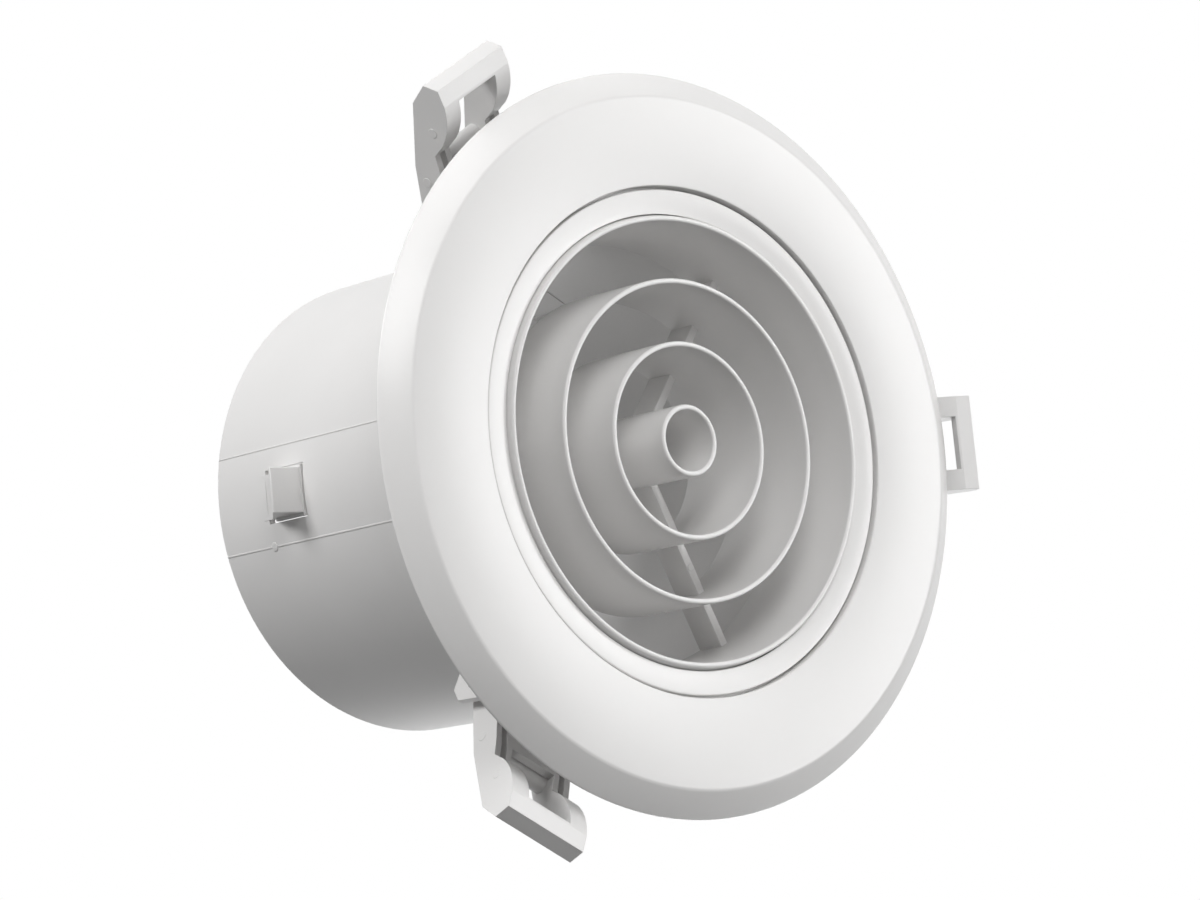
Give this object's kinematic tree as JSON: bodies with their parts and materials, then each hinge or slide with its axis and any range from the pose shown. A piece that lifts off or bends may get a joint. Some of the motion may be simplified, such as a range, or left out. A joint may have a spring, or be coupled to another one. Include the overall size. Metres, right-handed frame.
{
  "type": "round ceiling air outlet",
  "caption": "Round ceiling air outlet with a bevelled flange, a swivelling and tilting ringed jet core, a duct collar with snap fingers and sprung clips that grip the ceiling board.",
  "frame": {"origin": "centre of the ceiling cut-out, on the plane where the flange's back meets the ceiling", "axes": "+Z along the duct, from the room into the ceiling; +X towards the first clip; the visible face looks along -Z"},
  "size_m": [0.2513, 0.2498, 0.1443],
  "materials": {
    "face_plastic": "smooth white moulded face with a soft sheen",
    "collar_plastic": "plain white moulded back, slightly duller",
    "core_plastic": "smooth white moulded rings and blades",
    "clip_plastic": "white moulded clip parts",
    "pin_steel": "plain drawn steel pins",
    "spring_steel": "bright spring wire"
  },
  "bodies": {
    "housing": {"ceiling_flange": "face_plastic", "duct_collar": "collar_plastic", "clip_bracket_1": "clip_plastic", "clip_hinge_pin_1": "pin_steel", "clip_spring_1": "spring_steel", "clip_bracket_2": "clip_plastic", "clip_hinge_pin_2": "pin_steel", "clip_spring_2": "spring_steel", "clip_bracket_3": "clip_plastic", "clip_hinge_pin_3": "pin_steel", "clip_spring_3": "spring_steel"},
    "swivel": {"swivel_ring": "face_plastic", "ring_retainer": "collar_plastic", "core_pivot_pin_1": "pin_steel", "core_pivot_pin_2": "pin_steel"},
    "core": {"jet_core": "core_plastic"},
    "clip_1": {"clip_arm_1": "clip_plastic"},
    "clip_2": {"clip_arm_2": "clip_plastic"},
    "clip_3": {"clip_arm_3": "clip_plastic"}
  },
  "joints": [
    {"name": "ring_swivel", "type": "hinge", "parent": "housing", "child": "swivel", "pos_m": [0, 0, 0], "axis": [0, 0, 1], "continuous": true},
    {"name": "core_tilt", "type": "hinge", "parent": "swivel", "child": "core", "pos_m": [0, 0, 0.0115], "axis": [0.915, -0.4035, 0], "range_deg": [-20, 20]},
    {"name": "clip_hinge_1", "type": "hinge", "parent": "housing", "child": "clip_1", "pos_m": [0.09, 0, 0.033], "axis": [0, -1, 0], "range_deg": [0, 120], "stiffness_Nm_per_rad": 0.06, "springref_deg": -60.16, "deforming": ["clip_spring_1"]},
    {"name": "clip_hinge_2", "type": "hinge", "parent": "housing", "child": "clip_2", "pos_m": [-0.045, 0.07794, 0.033], "axis": [0.866, 0.5, 0], "range_deg": [0, 120], "stiffness_Nm_per_rad": 0.06, "springref_deg": -60.16, "deforming": ["clip_spring_2"]},
    {"name": "clip_hinge_3", "type": "hinge", "parent": "housing", "child": "clip_3", "pos_m": [-0.045, -0.07794, 0.033], "axis": [-0.866, 0.5, 0], "range_deg": [0, 120], "stiffness_Nm_per_rad": 0.06, "springref_deg": -60.16, "deforming": ["clip_spring_3"]}
  ]
}
